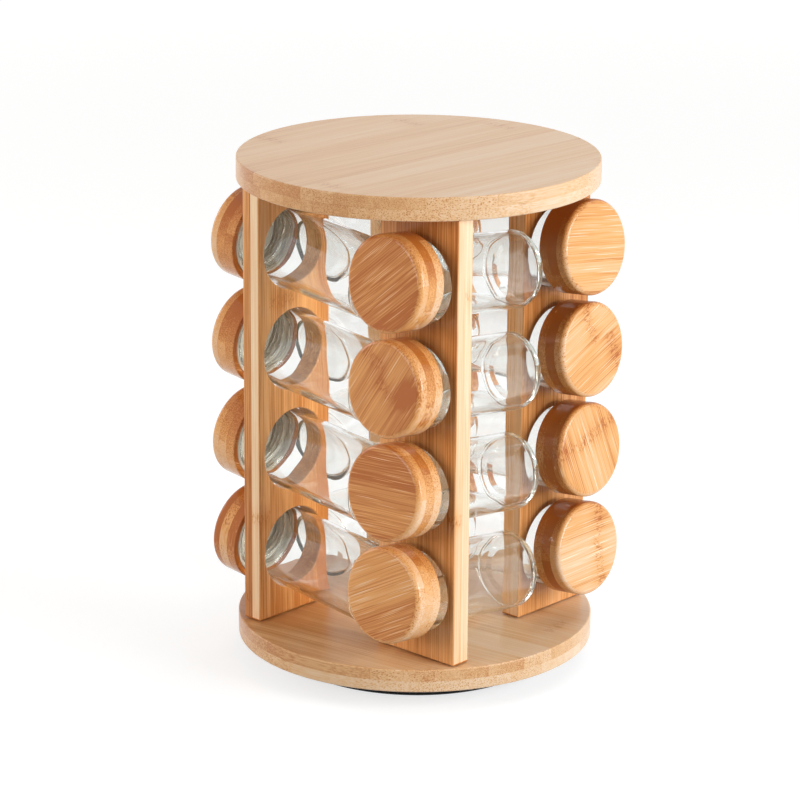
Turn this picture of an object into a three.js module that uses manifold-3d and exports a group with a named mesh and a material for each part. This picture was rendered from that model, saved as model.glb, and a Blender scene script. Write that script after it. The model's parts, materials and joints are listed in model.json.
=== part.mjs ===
// Spice carousel: sixteen glass jars with bamboo lids, lying in the holes of four bamboo uprights
// that stand in a pinwheel between two round bamboo discs, on a ball-bearing turntable.
// Millimetres, +Z up. The origin is on the turning axis, in the plane of the foot ring's underside.
// The jars of side a point along -Y, side b along -X, side c along +Y and side d along +X.

import * as THREE from 'three';
import { mergeVertices } from 'three/addons/utils/BufferGeometryUtils.js';
import Module from 'manifold-3d';

const wasm = await Module();
wasm.setup();

// ---- driving dimensions ----

const gap = 0.3; // clearance between neighbouring pieces
const past = 1; // how far a cutting or joining shape runs past the face it crosses

const discRadius = 100;
const discThickness = 13;
const discEdge = 0.8; // eased rim of each disc
const clearHeight = 250; // between the two discs

const boardWidth = 55.6;
const boardThickness = 12.4;
const boardOut = 50.6; // turning axis to the middle of a board's thickness
const boardAside = 52; // sideways shift of a board's centreline, which makes the pinwheel
const dowelRadius = 4;
const dowelLength = 8;
const dowelSpacing = 30; // between the two dowels in a board's end

const jarsPerSide = 4;
const jarPitch = 58;
const jarTilt = THREE.MathUtils.degToRad(6.5); // a jar's inner end hangs lower in its loose hole
const holeRadius = 23.2;

// Along a jar's axis, from the middle of the board, positive outwards.
const jarFoot = -71.3;
const jarShoulder = 12.4;
const jarNeck = 14.6;
const jarMouth = 26.6;
const jarRadius = 21.75;
const jarWall = 2.2;
const jarFloor = 4;
const jarHeel = 2.2; // eased corner at the foot
const neckRadius = 19.3;
const neckWall = 2.2;

const lidRadius = 26.5;
const lidUnder = 15.2;
const lidFace = 33.8;
const lidWall = 3;
const lidTop = 5.4; // thickness of the lid's end wall
const lidEdge = 3; // rounded rim of the lid's face
const linerWall = 2.7;
const linerDisc = 1.2; // the liner's sealing disc, over the mouth

const footHeight = 2;
const footInner = 64.5;
const footOuter = 74.5;
const plateUnder = 0.9;
const plateRadius = 76;
const plateEdge = 1; // eased rim of the lower plate
const lowerPlateTop = 5.4;
const upperPlateUnder = 8.2;
const turntableTop = 11.7;
const upperPlateRadius = 72;
const raceRadius = 56;
const raceWidth = 6;
const ballRadius = 2.4;
const ballCount = 12;
const cageWidth = 4;
const cageThickness = 1.6;
const pinRadius = 4;
const pinHeadRadius = 8;
const pinHeadHeight = 1.2;
const screwCount = 4;
const screwCircle = 38;
const screwRadius = 1.8;
const screwLength = 9;

const discSides = 60;
const jarSides = 16;
const holeSides = 32;
const ringSides = 48;
const pinSides = 20;
const smallSides = 10;
const ballSides = 8;
const ballRows = 4;

// ---- heights and clearances that follow from them ----

const baseUnder = turntableTop + gap;
const baseTop = baseUnder + discThickness;
const lidDiscUnder = baseTop + clearHeight;
const firstHole = (clearHeight - (jarsPerSide - 1) * jarPitch) / 2;
const ballHeight = (lowerPlateTop + upperPlateUnder) / 2;
const quarterTurn = Math.PI / 2;
const sides = ['a', 'd', 'c', 'b']; // in quarter turns about +Z, starting at -Y

// ---- finishes ----

function finish(color, roughness, metalness = 0, opacity = 1) {
  return new THREE.MeshStandardMaterial({
    color,
    roughness,
    metalness,
    opacity,
    transparent: opacity < 1,
  });
}

const bambooPale = () => finish(0xdec0a0, 0.5);
const bambooWarm = () => finish(0xd29a5c, 0.5);
const bambooLid = () => finish(0xd08c4c, 0.5);
const clearGlass = () => finish(0xe4ecea, 0.05, 0, 0.35);
const whitePlastic = () => finish(0xe6e4de, 0.45);
const blackPlastic = () => finish(0x161616, 0.4);
const blackRubber = () => finish(0x101010, 0.85);
const steel = () => finish(0xb8babd, 0.3, 1);

// ---- solids ----

// A geometry as a solid that can be cut and joined.
function solid(geometry) {
  geometry.deleteAttribute('normal');
  geometry.deleteAttribute('uv');
  const merged = mergeVertices(geometry, 1e-4);
  const index = merged.index.array;
  const corners = [];
  for (let i = 0; i < index.length; i += 3) {
    const [a, b, c] = [index[i], index[i + 1], index[i + 2]];
    if (a !== b && b !== c && c !== a) corners.push(a, b, c);
  }
  return new wasm.Manifold(new wasm.Mesh({
    numProp: 3,
    vertProperties: new Float32Array(merged.attributes.position.array),
    triVerts: new Uint32Array(corners),
  }));
}

function geometryOf(body) {
  const mesh = body.getMesh();
  const geometry = new THREE.BufferGeometry();
  geometry.setAttribute('position', new THREE.BufferAttribute(new Float32Array(mesh.vertProperties), 3));
  geometry.setIndex(new THREE.BufferAttribute(new Uint32Array(mesh.triVerts), 1));
  geometry.computeVertexNormals();
  return geometry;
}

function joined(bodies) {
  return bodies.reduce((whole, body) => whole.add(body));
}

// A profile of [radius, height] pairs, counter-clockwise, turned about +Y.
function turnedGeometry(profile, around) {
  const points = profile.map(([radius, height]) => new THREE.Vector2(radius, height));
  return new THREE.LatheGeometry(points, around);
}

// The same, turned about +Z.
function turnedUpright(profile, around) {
  return turnedGeometry(profile, around).rotateX(quarterTurn);
}

function closedRing(inner, outer, low, high) {
  return [[inner, low], [outer, low], [outer, high], [inner, high], [inner, low]];
}

function upright(radius, low, high, x, y, around = smallSides) {
  const cylinder = new THREE.CylinderGeometry(radius, radius, high - low, around);
  return cylinder.rotateX(quarterTurn).translate(x, y, (low + high) / 2);
}

function piece(name, geometry, material) {
  const mesh = new THREE.Mesh(geometry, material);
  mesh.name = name;
  return mesh;
}

// ---- discs and uprights ----

// Where the dowels stand, seen from above, for all four boards.
function dowelPlaces() {
  const places = [];
  for (let turn = 0; turn < sides.length; turn += 1) {
    for (const along of [-dowelSpacing / 2, dowelSpacing / 2]) {
      const place = new THREE.Vector2(boardAside + along, -boardOut);
      places.push(place.rotateAround(new THREE.Vector2(), turn * quarterTurn));
    }
  }
  return places;
}

function disc(under) {
  const top = under + discThickness;
  const rim = discRadius - discEdge;
  return solid(turnedUpright([
    [0, under],
    [rim, under],
    [discRadius, under + discEdge],
    [discRadius, top - discEdge],
    [rim, top],
    [0, top],
  ], discSides));
}

function dowelHoles(low, high) {
  const bore = dowelRadius + gap;
  return dowelPlaces().map(({ x, y }) => solid(upright(bore, low, high, x, y)));
}

function topDisc() {
  const holes = dowelHoles(lidDiscUnder - past, lidDiscUnder + dowelLength + gap);
  return disc(lidDiscUnder).subtract(joined(holes));
}

function screwPlaces() {
  const places = [];
  for (let i = 0; i < screwCount; i += 1) {
    const angle = quarterTurn * (i + 0.5);
    places.push(new THREE.Vector2(screwCircle, 0).rotateAround(new THREE.Vector2(), angle));
  }
  return places;
}

function baseDisc() {
  const holes = dowelHoles(baseTop - dowelLength - gap, baseTop + past);
  const pilot = screwRadius + gap;
  for (const { x, y } of screwPlaces()) {
    holes.push(solid(upright(pilot, baseUnder - past, turntableTop + screwLength + gap, x, y)));
  }
  return disc(baseUnder).subtract(joined(holes));
}

// A board of side a, with its four jar holes and the dowels glued into its ends.
function board() {
  const halfWidth = boardWidth / 2;
  const low = baseTop + gap;
  const high = lidDiscUnder - gap;
  const outline = new THREE.Shape();
  outline.moveTo(-halfWidth, low);
  outline.lineTo(halfWidth, low);
  outline.lineTo(halfWidth, high);
  outline.lineTo(-halfWidth, high);
  outline.closePath();
  for (let level = 0; level < jarsPerSide; level += 1) {
    const hole = new THREE.Path();
    hole.absarc(0, baseTop + firstHole + level * jarPitch, holeRadius, 0, 2 * Math.PI, true);
    outline.holes.push(hole);
  }
  const slab = new THREE.ExtrudeGeometry(outline, {
    depth: boardThickness,
    bevelEnabled: false,
    curveSegments: holeSides / 2,
  });
  slab.rotateX(quarterTurn).translate(boardAside, boardThickness / 2 - boardOut, 0);
  const dowels = [-dowelSpacing / 2, dowelSpacing / 2].flatMap((along) => [
    solid(upright(dowelRadius, low - dowelLength, low + past, boardAside + along, -boardOut)),
    solid(upright(dowelRadius, high - past, high + dowelLength, boardAside + along, -boardOut)),
  ]);
  return joined([solid(slab), ...dowels]);
}

// ---- a jar, its lid and the lid's liner, each about the jar's axis ----

function jarGlass() {
  const inner = jarRadius - jarWall;
  const mouth = neckRadius - neckWall;
  return turnedGeometry([
    [0, jarFoot],
    [jarRadius - jarHeel, jarFoot],
    [jarRadius, jarFoot + jarHeel],
    [jarRadius, jarShoulder],
    [neckRadius, jarNeck],
    [neckRadius, jarMouth],
    [mouth, jarMouth],
    [mouth, jarNeck - jarWall],
    [inner, jarShoulder - jarWall],
    [inner, jarFoot + jarFloor],
    [0, jarFoot + jarFloor],
  ], jarSides);
}

function lidCap() {
  const bore = lidRadius - lidWall;
  return turnedGeometry([
    [0, lidFace - lidTop],
    [bore, lidFace - lidTop],
    [bore, lidUnder],
    [lidRadius, lidUnder],
    [lidRadius, lidFace - lidEdge],
    [lidRadius - lidEdge, lidFace],
    [0, lidFace],
  ], jarSides);
}

function lidLiner() {
  const outer = lidRadius - lidWall - gap;
  const inner = outer - linerWall;
  const top = lidFace - lidTop - gap;
  return turnedGeometry([
    [0, top - linerDisc],
    [inner, top - linerDisc],
    [inner, lidUnder + gap],
    [outer, lidUnder + gap],
    [outer, top],
    [0, top],
  ], jarSides);
}

// One jar with its lid, lying in a hole of side a's board.
function jar(label, level) {
  const group = new THREE.Group();
  group.add(piece(`jar_glass_${label}`, geometryOf(solid(jarGlass())), clearGlass()));
  group.add(piece(`jar_lid_${label}`, geometryOf(solid(lidCap())), bambooLid()));
  group.add(piece(`lid_liner_${label}`, geometryOf(solid(lidLiner())), whitePlastic()));
  group.position.set(boardAside, -boardOut, baseTop + firstHole + level * jarPitch);
  group.rotation.x = Math.PI - jarTilt;
  return group;
}

function side(letter, turn) {
  const group = new THREE.Group();
  group.add(piece(`upright_${letter}`, geometryOf(board()), bambooWarm()));
  for (let level = 0; level < jarsPerSide; level += 1) {
    group.add(jar(`${letter}${level + 1}`, level));
  }
  group.rotation.z = turn * quarterTurn;
  return group;
}

// ---- turntable ----

function raceGroove(low, high) {
  const half = raceWidth / 2;
  return solid(turnedUpright(closedRing(raceRadius - half, raceRadius + half, low, high), ringSides));
}

function lowerPlate() {
  const body = solid(turnedUpright([
    [0, plateUnder],
    [plateRadius - plateEdge, plateUnder],
    [plateRadius, plateUnder + plateEdge],
    [plateRadius, lowerPlateTop - plateEdge],
    [plateRadius - plateEdge, lowerPlateTop],
    [0, lowerPlateTop],
  ], ringSides));
  const footGroove = closedRing(footInner - gap, footOuter + gap, 0, footHeight + gap);
  const seat = plateUnder + pinHeadHeight + gap;
  return body
    .subtract(solid(turnedUpright(footGroove, ringSides)))
    .subtract(raceGroove(ballHeight - ballRadius - gap, lowerPlateTop + past))
    .subtract(solid(upright(pinHeadRadius + gap, 0, seat, 0, 0, pinSides)))
    .subtract(solid(upright(pinRadius + gap, 0, lowerPlateTop + past, 0, 0, pinSides)));
}

// The plate that turns, with the four screws that hold it up to the base disc.
function upperPlate() {
  const body = solid(turnedUpright([
    [0, upperPlateUnder],
    [upperPlateRadius, upperPlateUnder],
    [upperPlateRadius, turntableTop],
    [0, turntableTop],
  ], ringSides));
  const seat = turntableTop - pinHeadHeight - gap;
  const cut = body
    .subtract(raceGroove(upperPlateUnder - past, ballHeight + ballRadius + gap))
    .subtract(solid(upright(pinHeadRadius + gap, seat, turntableTop + past, 0, 0, pinSides)))
    .subtract(solid(upright(pinRadius + gap, 0, turntableTop + past, 0, 0, pinSides)));
  const screws = screwPlaces().map(({ x, y }) => (
    solid(upright(screwRadius, upperPlateUnder + past, turntableTop + screwLength, x, y))));
  return joined([cut, ...screws]);
}

// The balls in the cage that keeps them apart.
function ballRing() {
  const half = cageWidth / 2;
  const low = ballHeight - cageThickness / 2;
  const cage = closedRing(raceRadius - half, raceRadius + half, low, low + cageThickness);
  const parts = [solid(turnedUpright(cage, ringSides))];
  for (let i = 0; i < ballCount; i += 1) {
    const ball = new THREE.SphereGeometry(ballRadius, ballSides, ballRows);
    ball.rotateX(quarterTurn).translate(raceRadius, 0, ballHeight);
    parts.push(solid(ball.rotateZ((i * 2 * Math.PI) / ballCount)));
  }
  return joined(parts);
}

function pivotPin() {
  return solid(turnedUpright([
    [0, plateUnder],
    [pinHeadRadius, plateUnder],
    [pinHeadRadius, plateUnder + pinHeadHeight],
    [pinRadius, plateUnder + pinHeadHeight],
    [pinRadius, turntableTop - pinHeadHeight],
    [pinHeadRadius, turntableTop - pinHeadHeight],
    [pinHeadRadius, turntableTop],
    [0, turntableTop],
  ], pinSides));
}

function footRing() {
  return solid(turnedUpright(closedRing(footInner, footOuter, 0, footHeight), ringSides));
}

// ---- the carousel ----

const carousel = new THREE.Group();
carousel.add(piece('foot_ring', geometryOf(footRing()), blackRubber()));
carousel.add(piece('turntable_lower_plate', geometryOf(lowerPlate()), blackPlastic()));
carousel.add(piece('ball_ring', geometryOf(ballRing()), steel()));
carousel.add(piece('pivot_pin', geometryOf(pivotPin()), steel()));
carousel.add(piece('turntable_upper_plate', geometryOf(upperPlate()), blackPlastic()));
carousel.add(piece('base_disc', geometryOf(baseDisc()), bambooPale()));
carousel.add(piece('top_disc', geometryOf(topDisc()), bambooPale()));
sides.forEach((letter, turn) => carousel.add(side(letter, turn)));

export default carousel;
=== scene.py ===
"""Spice carousel: a revolving bamboo rack with sixteen glass jars, finished around its frame.

Every piece stands where the frame has it. Sizes are metres, but the pattern of the wood, with its
knuckles and stains, is laid out in millimetres.
"""

import json
import math
import random

import bmesh
import bpy
import numpy as np
from bpy.props import (
    FloatProperty,
    FloatVectorProperty,
    IntProperty,
    PointerProperty,
)
from mathutils import Matrix, Vector, noise

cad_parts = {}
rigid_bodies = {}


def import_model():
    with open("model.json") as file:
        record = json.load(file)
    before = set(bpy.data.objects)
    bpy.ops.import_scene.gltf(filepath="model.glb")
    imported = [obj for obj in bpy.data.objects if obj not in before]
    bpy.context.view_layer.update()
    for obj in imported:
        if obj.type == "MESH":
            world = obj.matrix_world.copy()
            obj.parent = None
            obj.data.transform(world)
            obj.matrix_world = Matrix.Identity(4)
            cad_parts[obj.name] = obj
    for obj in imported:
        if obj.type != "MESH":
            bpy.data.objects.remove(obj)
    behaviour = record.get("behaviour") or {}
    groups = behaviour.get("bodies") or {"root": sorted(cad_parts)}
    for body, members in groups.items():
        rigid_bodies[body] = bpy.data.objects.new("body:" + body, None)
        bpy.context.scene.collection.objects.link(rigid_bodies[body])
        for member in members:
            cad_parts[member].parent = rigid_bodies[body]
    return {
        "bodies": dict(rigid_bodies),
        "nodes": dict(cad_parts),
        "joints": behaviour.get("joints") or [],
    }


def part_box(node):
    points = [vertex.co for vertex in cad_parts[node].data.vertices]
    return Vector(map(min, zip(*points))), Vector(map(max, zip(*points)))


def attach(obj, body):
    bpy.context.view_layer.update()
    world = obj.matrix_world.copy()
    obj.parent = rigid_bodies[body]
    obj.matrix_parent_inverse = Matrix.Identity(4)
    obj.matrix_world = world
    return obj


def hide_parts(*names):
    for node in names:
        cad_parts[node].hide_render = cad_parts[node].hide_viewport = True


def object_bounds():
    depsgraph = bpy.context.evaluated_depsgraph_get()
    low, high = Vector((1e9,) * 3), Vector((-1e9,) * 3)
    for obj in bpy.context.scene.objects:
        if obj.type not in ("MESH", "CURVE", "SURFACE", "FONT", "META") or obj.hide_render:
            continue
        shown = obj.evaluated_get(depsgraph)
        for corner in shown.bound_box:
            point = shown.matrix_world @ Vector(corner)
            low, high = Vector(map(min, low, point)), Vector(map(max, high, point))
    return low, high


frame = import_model()
cad_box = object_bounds()

bl_info = {
    "name": "Spice Carousel",
    "version": (1, 0, 0),
    "blender": (4, 5, 0),
    "location": "View3D > Sidebar > Spice Carousel",
    "description": "Finishes a revolving bamboo rack with sixteen glass spice jars",
    "category": "Add Mesh",
}

MM = 0.001
GAP = 0.0003  # clearance between a piece and the one that it sits in
DOWEL_STEP = 0.015
DOWEL_RADIUS = 0.004
DOWEL_LENGTH = 0.0085
DOWEL_ROOT = 0.0005
DOWEL_PIT = 0.0083
JAR_HOLE = 0.0232
BOARD_GAP = 0.0006
FOOT_BAND = 0.001
NECK_LENGTH = 0.012
NECK_WALL = 0.0022
LINER_WALL = 0.0018
LINER_END = 0.0012
THREAD_STEP = 0.0003
WALL_STEP = 0.004
RIVET_BORE = 0.0043
RIVET_SEAT = 0.0083
RIVET_SHANK = 0.004
CAGE_HALF_WIDTH = 0.002
CAGE_HALF_HEIGHT = 0.0008
FLOOR_RADIUS = 6.0
FLOOR_GAP = 0.0002
LAMP_TARGET = Vector((0, 0, 0.15))
UP = Vector((0, 0, 1))
SIDES = "abcd"
LABELS = sorted(body[4:] for body in frame["bodies"] if body.startswith("jar_"))
JOINTS = {joint["name"]: joint for joint in frame["joints"]}

# How much paler than usual each disc is, how much more so towards one side, the compass angle of
# that side in radians, and the plies from the lower to the upper one. The lean towards one side is
# painted light, paler where the lamps fall.
DISC_TONES = {
    "top": (0.25, 0.08, 0.73, (0, 0, 0)),
    "base": (0.09, 0.36, 0.4, (0.22, 0, 0)),
}
# How much paler than usual each board is: the whole of it; its foot against its top, which is
# painted light and shade; its narrow edges, partly their own paler strips and partly a painted
# sheen; their foot against their top; and the plies seen there from the inner to the outer one.
BOARD_TONES = {
    "a": (0.06, 0.28, 0.62, -0.45, (0.05, -0.08, 0)),
    "b": (-0.03, -0.34, 0.1, 0, (0.55, -0.38, 0)),
    "c": (0.35, 0.0, 0.1, 0, (0.1, 0, 0)),
    "d": (0.0, 0.3, 0.25, 0, (-0.15, 0.1, 0)),
}
# Direction of the grain on a lid's face, in degrees from level. The other lids draw theirs.
LID_GRAIN = {"a1": 28, "a2": 4, "a3": 58, "a4": 40, "d1": 1, "d2": 108, "d3": 22, "d4": 172}
# How far along the grain a lid's knuckle lies, in millimetres. Elsewhere it is off the face.
LID_KNUCKLE = {"a3": 6, "d3": 8, "d2": 3, "d1": 4, "b2": -5, "c3": 2}
OFF_THE_FACE = 130
# A dark stain on a lid's face: how far aside and up from its middle, in millimetres, and how dark.
LID_STAIN = {"a3": (17, 1, 1.3)}
# How much paler than usual a lid's plies are, from its open end to its face. Besides the plies'
# own tones, the darker open ends are painted shade beside the board.
LID_PLIES = {
    "a1": (-0.05, 0.0, 0.22), "a2": (-0.12, -0.25, 0.1),
    "a3": (-0.15, -0.2, 0.14), "a4": (-0.12, -0.35, -0.06),
    "b1": (-0.6, 0.05, -0.42), "b2": (-0.2, 0.1, 0.0),
    "b3": (-0.3, -0.1, 0.1), "b4": (-0.35, -0.2, 0.14),
    "d1": (-0.1, -0.2, 0.34), "d2": (-0.1, -0.25, 0.2),
    "d3": (-0.1, -0.2, 0.24), "d4": (-0.2, -0.25, 0.05),
}
# How much paler than usual the lids on each side of the rack are, and their round sides besides.
# Both are painted light and shade: paler on the sides that the lamps light, darker on side d's
# round sides, which stand in shade.
LID_LIGHT_AND_SHADE = {"a": (0.0, 0.45), "b": (0.0, 0.26), "c": (0.0, 0.0), "d": (0.22, -0.38)}


# ---- settings ----


def setting(kind, **usual):
    """A short call that makes settings of one kind."""
    def made(name, description, default, **options):
        return kind(name=name, description=description, default=default, **{**usual, **options})
    return made


def turn(name, description, degrees):
    return FloatProperty(name=name, description=description, default=math.radians(degrees),
                         subtype="ANGLE")


plain = setting(FloatProperty)
length = setting(FloatProperty, unit="LENGTH")
power = setting(FloatProperty, unit="POWER")
share = setting(FloatProperty, subtype="FACTOR", min=0, max=1)
refraction = setting(FloatProperty, min=1, max=3)
tint = setting(FloatVectorProperty, subtype="COLOR", min=0, max=1)
whole = setting(IntProperty, min=1)

# The settings that all wood has: kind, label, description and usual default.
WOOD_SETTINGS = {
    "pale": (tint, "Pale", "Colour of the palest fibres", (0.89, 0.61, 0.37)),
    "middle": (tint, "Middle", "Colour of most of the wood", (0.79, 0.385, 0.135)),
    "deep": (tint, "Deep", "Colour of the darkest fibres", (0.42, 0.13, 0.022)),
    "cream": (tint, "Cream", "Colour of the palest strips", (0.94, 0.78, 0.55)),
    "strip_width": (length, "Strip width", "Width of one glued strip", 0.019),
    "plies": (whole, "Plies", "Layers of strips", 2),
    "ply": (length, "Ply", "Thickness of one layer of strips", 0.0062),
    "strip_variation": (share, "Strip variation", "How much one strip differs from the next", 0.16),
    "streaks": (share, "Streaks", "Contrast of the soft streaks", 0.30),
    "fibres": (share, "Fibres", "Contrast of the fibre bundles seen lengthwise", 0.30),
    "end_shade": (share, "End shade", "How much darker wood cut across the grain is", 0.1),
    "dots": (share, "Dots", "Contrast of the fibre bundles cut across", 0.4),
    "knuckles": (share, "Knuckles", "Contrast of the marks where the cane had a knuckle", 0.4),
    "seams": (share, "Seams", "Contrast of the glue lines", 0.15),
    "lines": (share, "Lines", "Contrast of the thin pale lines along the grain", 0.22),
    "roughness": (share, "Roughness", "Roughness of the wood", 0.55),
    "gloss": (share, "Gloss", "Weight of the lacquer", 0.8),
    "gloss_roughness": (share, "Gloss roughness", "Roughness of the lacquer", 0.2),
    "gloss_ior": (refraction, "Gloss IOR", "How strongly the lacquer mirrors the light", 1.36),
}


def wooden(**defaults):
    """Gives a class the settings that all wood has, with its own defaults where they are given."""
    def added(cls):
        for key, (kind, name, description, usual) in WOOD_SETTINGS.items():
            cls.__annotations__[key] = kind(name, description, defaults.get(key, usual))
        return cls
    return added


@wooden(pale=(0.79, 0.60, 0.42), middle=(0.72, 0.44, 0.215), deep=(0.48, 0.19, 0.055),
        cream=(0.90, 0.76, 0.56), strip_width=0.0205, ply=0.0065, strip_variation=0.11,
        streaks=0.24, fibres=0.16, end_shade=0.38, dots=0.75, knuckles=0.35, seams=0.12,
        lines=0.16, gloss=1.0, gloss_roughness=0.3)
class DiscSettings(bpy.types.PropertyGroup):
    """The two round discs."""

    ease: length("Ease", "Radius of the eased rims", 0.0009)
    top_grain: turn("Top grain", "Direction of the top disc's grain from +X", 87)
    base_grain: turn("Base grain", "Direction of the base disc's grain from +X", 8)


@wooden()
class UprightSettings(bpy.types.PropertyGroup):
    """The four boards that hold the jars."""

    ease: length("Ease", "Radius of the eased edges", 0.0009)
    # Painted shadow: the last millimetre of each foot is darkened where it meets the base disc.
    foot_shade: plain("Foot shade", "How much darker the last millimetre of the foot is", 2.0, min=0)


@wooden(pale=(0.83, 0.57, 0.36), middle=(0.77, 0.372, 0.118), deep=(0.45, 0.128, 0.02),
        strip_width=0.022, plies=3, strip_variation=0.20, streaks=0.22, fibres=0.6, dots=0.8,
        knuckles=0.5, lines=0.66, gloss=1.0, gloss_roughness=0.08, gloss_ior=1.32)
class LidSettings(bpy.types.PropertyGroup):
    """The turned bamboo lids."""

    fillet: length("Fillet", "Radius of the rounded rim of the face", 0.003)
    wall: length("Wall", "Thickness of the lid's side wall", 0.003)
    # Painted shade: a lid's upper side is darkened where the disc or lid above shades it.
    shade_above: share("Shade above", "How much darker the lid's upper side has become", 0.6)


class GlassSettings(bpy.types.PropertyGroup):
    """The pressed glass jars."""

    clear: tint("Clear", "Colour of thin glass", (0.985, 0.99, 0.985))
    depth_tint: tint("Depth tint", "Colour that light takes on in thick glass", (0.50, 0.62, 0.55))
    depth: plain("Depth", "How strongly thick glass is tinted", 12.5)
    wall: length("Wall", "Thickness of the side wall", 0.0019)
    floor: length("Floor", "Thickness of the foot", 0.0026)
    heel: length("Heel", "Radius of the rounded edge of the foot", 0.0013)
    neck_radius: length("Neck radius", "Radius of the neck under its thread", 0.0190)
    shoulder: length("Shoulder", "Length of the sloping shoulder", 0.0022)
    thread_height: length("Thread height", "Height of the thread's ridge", 0.0011)
    thread_pitch: length("Thread pitch", "Rise of the thread in one turn", 0.0028)
    waves: length("Waves", "Unevenness of the inner wall", 0.00017)


class TurntableSettings(bpy.types.PropertyGroup):
    """The plates, ball ring, pin and foot under the base disc."""

    plastic: tint("Plastic", "Colour of the moulded plates", (0.008, 0.008, 0.008))
    rubber: tint("Rubber", "Colour of the foot ring", (0.011, 0.011, 0.011))
    steel: tint("Steel", "Colour of the pin", (0.62, 0.62, 0.63))
    # The liners' colour is their yellowish plastic darkened to paint the shade inside the lids.
    liner: tint("Liner", "Colour of the liners in the lids", (0.50, 0.43, 0.33))
    ball_count: whole("Balls", "Number of balls in the ring", 12, min=3)
    ball_radius: length("Ball radius", "Radius of one ball", 0.0024)
    pin_head: length("Pin head", "Thickness of the rivet's heads", 0.0012)
    foot_width: length("Foot width", "Width of the rubber foot ring", 0.010)
    knurls: whole("Ribs", "Ribs around the turntable's rim", 90, min=12)


class StageSettings(bpy.types.PropertyGroup):
    """The camera, the lamps and the floor."""

    heading: turn("Heading", "Compass angle from which the camera looks, from -Y towards +X", 42.215)
    swing: turn("Swing", "How far the camera turns aside from the axis", -0.286)
    pitch: turn("Pitch", "How far the camera looks down", 17.197)
    roll: turn("Roll", "Lean of the camera", 0.426)
    reach: length("Reach", "Level distance of the camera from the turning axis", 1.857)
    height: length("Height", "Height of the camera above the table", 0.7219)
    lens: plain("Lens", "Focal length on a 36 mm sensor", 156.67, unit="CAMERA")
    key_power: power("Key", "Power of the key lamp", 28)
    fill_power: power("Fill", "Power of the fill lamp", 16)
    side_power: power("Side", "Power of the lamp far to the left", 5.0)
    top_power: power("Top", "Power of the overhead lamp", 5.5)
    room: share("Room", "Strength of the light from all around", 0.34)
    floor_tone: share("Floor tone", "Paleness of the floor", 0.45)


# ---- meshes ----


def circle(radius, height, count, centre=(0, 0)):
    """Points of a level circle, counter-clockwise."""
    angles = [2 * math.pi * i / count for i in range(count)]
    return [(centre[0] + radius * math.cos(a), centre[1] + radius * math.sin(a), height)
            for a in angles]


def softened(corners, steps=5, closed=False):
    """A profile through (radius, height, fillet) corners, with each fillet as an arc."""
    points = []
    count = len(corners)
    for i, (r, z, fillet) in enumerate(corners):
        here = Vector((r, z))
        if fillet <= 0 or (not closed and i in (0, count - 1)):
            points.append((r, z))
            continue
        before = (Vector(corners[i - 1][:2]) - here).normalized()
        after = (Vector(corners[(i + 1) % count][:2]) - here).normalized()
        half = before.angle(after) / 2
        reach = fillet / math.tan(half)
        centre = here + (before + after).normalized() * (fillet / math.sin(half))
        start, end = here + before * reach - centre, here + after * reach - centre
        sweep = math.atan2(start.x * end.y - start.y * end.x, start.dot(end))
        for k in range(steps + 1):
            bent = Matrix.Rotation(sweep * k / steps, 2) @ start + centre
            points.append((bent.x, bent.y))
    return points


def turned(bm, profile, segments, closed=False, swell=None):
    """Adds a profile of (radius, height) points turned about Z. swell(radius, height, angle) is
    added to the radius."""
    rings = []
    for r, z in profile:
        if r < 1e-7:
            rings.append([bm.verts.new((0, 0, z))])
            continue
        ring = []
        for i in range(segments):
            angle = 2 * math.pi * i / segments
            radius = r + (swell(r, z, angle) if swell else 0)
            ring.append(bm.verts.new((radius * math.cos(angle), radius * math.sin(angle), z)))
        rings.append(ring)
    pairs = list(zip(rings, rings[1:]))
    if closed:
        pairs.append((rings[-1], rings[0]))
    for low, high in pairs:
        for i in range(segments):
            j = (i + 1) % segments
            corners = [low[i % len(low)], low[j % len(low)],
                       high[j % len(high)], high[i % len(high)]]
            bm.faces.new(list(dict.fromkeys(corners)))


def loop_of(bm, points):
    """Adds a closed loop and returns its vertices and edges."""
    verts = [bm.verts.new(p) for p in points]
    edges = [bm.edges.new((a, b)) for a, b in zip(verts, verts[1:] + verts[:1])]
    return verts, edges


def bridged(bm, rows):
    """Joins loops of equal length, each to the next."""
    for (low, _), (high, _) in zip(rows, rows[1:]):
        count = len(low)
        for i in range(count):
            j = (i + 1) % count
            bm.faces.new((low[i], low[j], high[j], high[i]))


def eased_rows(thickness, ease, steps=4):
    """(inset, height) rows from one face of a slab to the other, over two eased edges."""
    quarter = [(ease * (1 - math.sin(a)), ease * (1 - math.cos(a)))
               for a in (math.pi / 2 * k / steps for k in range(steps + 1))]
    return quarter + [(inset, thickness - rise) for inset, rise in reversed(quarter)]


def slab(bm, outline, holes, thickness, ease, pits_low=(), pits_high=()):
    """A plate from z = 0 to its thickness. outline(inset, z) and each of holes(inset, z) give a loop
    set back by inset. Pits are (centre, radius, depth) blind holes in the low or the high face."""
    shell = [[loop_of(bm, edge(inset, z)) for inset, z in eased_rows(thickness, ease)]
             for edge in [outline] + list(holes)]
    for rows in shell:
        bridged(bm, rows)
    for end, height, pits, inwards in ((0, 0, pits_low, 1), (-1, thickness, pits_high, -1)):
        rim = [edge for rows in shell for edge in rows[end][1]]
        for centre, radius, depth in pits:
            mouth = loop_of(bm, circle(radius, height, 24, centre))
            floor = loop_of(bm, circle(radius, height + inwards * depth, 24, centre))
            bridged(bm, [mouth, floor])
            bm.faces.new(floor[0])
            rim += mouth[1]
        bmesh.ops.triangle_fill(bm, use_beauty=True, use_dissolve=False, edges=rim)


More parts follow.
